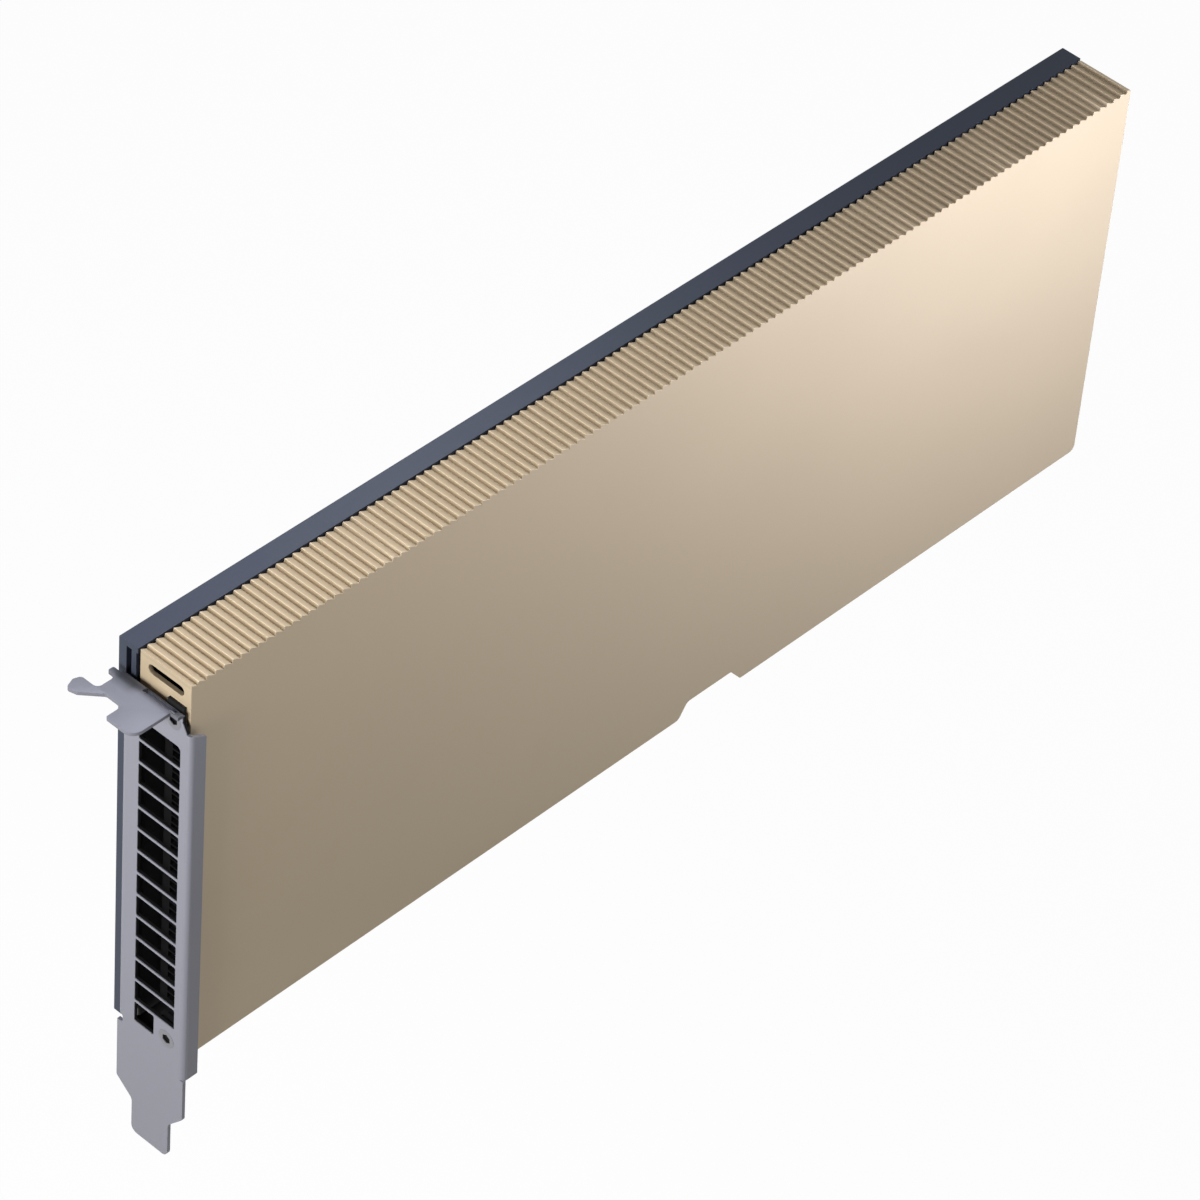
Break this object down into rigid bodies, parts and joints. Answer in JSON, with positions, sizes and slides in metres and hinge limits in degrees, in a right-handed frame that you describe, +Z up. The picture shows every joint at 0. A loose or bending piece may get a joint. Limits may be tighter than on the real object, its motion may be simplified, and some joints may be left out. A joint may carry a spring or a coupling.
{
  "type": "passive accelerator card",
  "caption": "Single-slot expansion card: ribbed metal cooler cover over a fin stack, dark backplate, vented steel bracket with a screw tab, contact tab below, power socket at the far end.",
  "frame": {"origin": "middle of the key notch, at the lower edge of the contact tab and in the board's middle plane", "axes": "+X along the card from the bracket to the far end, -Y out of the gold front, +Z up out of the slot"},
  "size_m": [0.2781, 0.0229, 0.1266],
  "materials": {
    "cover_gold": "fine matt blasted and anodised in a pale gold",
    "dark_plate": "satin black anodised",
    "bracket_steel": "satin nickel plated",
    "screw_steel": "zinc plated",
    "screw_black": "black oxide",
    "board": "dark solder mask over glass laminate",
    "contact_gold": "hard gold plating",
    "sink_black": "matt black anodised",
    "copper": "bare copper",
    "paste": "grey thermal compound",
    "substrate": "green laminate",
    "silicon": "polished silicon",
    "frame_metal": "nickel plated",
    "chip_black": "moulded epoxy",
    "thermal_pad": "soft grey-blue pad",
    "choke_grey": "pressed iron powder",
    "capacitor_body": "moulded case",
    "crystal_can": "drawn can",
    "ceramic_tan": "fired ceramic",
    "socket_black": "moulded nylon",
    "pin_tin": "tin plated",
    "film_black": "matt film",
    "brass": "turned brass"
  },
  "bodies": {
    "root": {"cooler_cover": "cover_gold", "backplate": "dark_plate", "bracket": "bracket_steel", "bracket_screws": "screw_steel", "circuit_board": "board", "edge_contacts_front": "contact_gold", "edge_contacts_back": "contact_gold", "heat_sink": "sink_black", "copper_plate": "copper", "thermal_paste": "paste", "package_substrate": "substrate", "processor_die": "silicon", "package_frame": "frame_metal", "memory_chips": "chip_black", "memory_pads": "thermal_pad", "chokes": "choke_grey", "choke_pads": "thermal_pad", "power_stages": "chip_black", "power_stage_pads": "thermal_pad", "bulk_capacitors": "capacitor_body", "firmware_chip": "chip_black", "clock_crystal": "crystal_can", "ceramic_capacitors": "ceramic_tan", "power_socket": "socket_black", "power_pins": "pin_tin", "insulating_film": "film_black", "cooler_screws": "screw_black", "backplate_screws": "screw_black", "extender_bushings": "brass"}
  },
  "joints": []
}
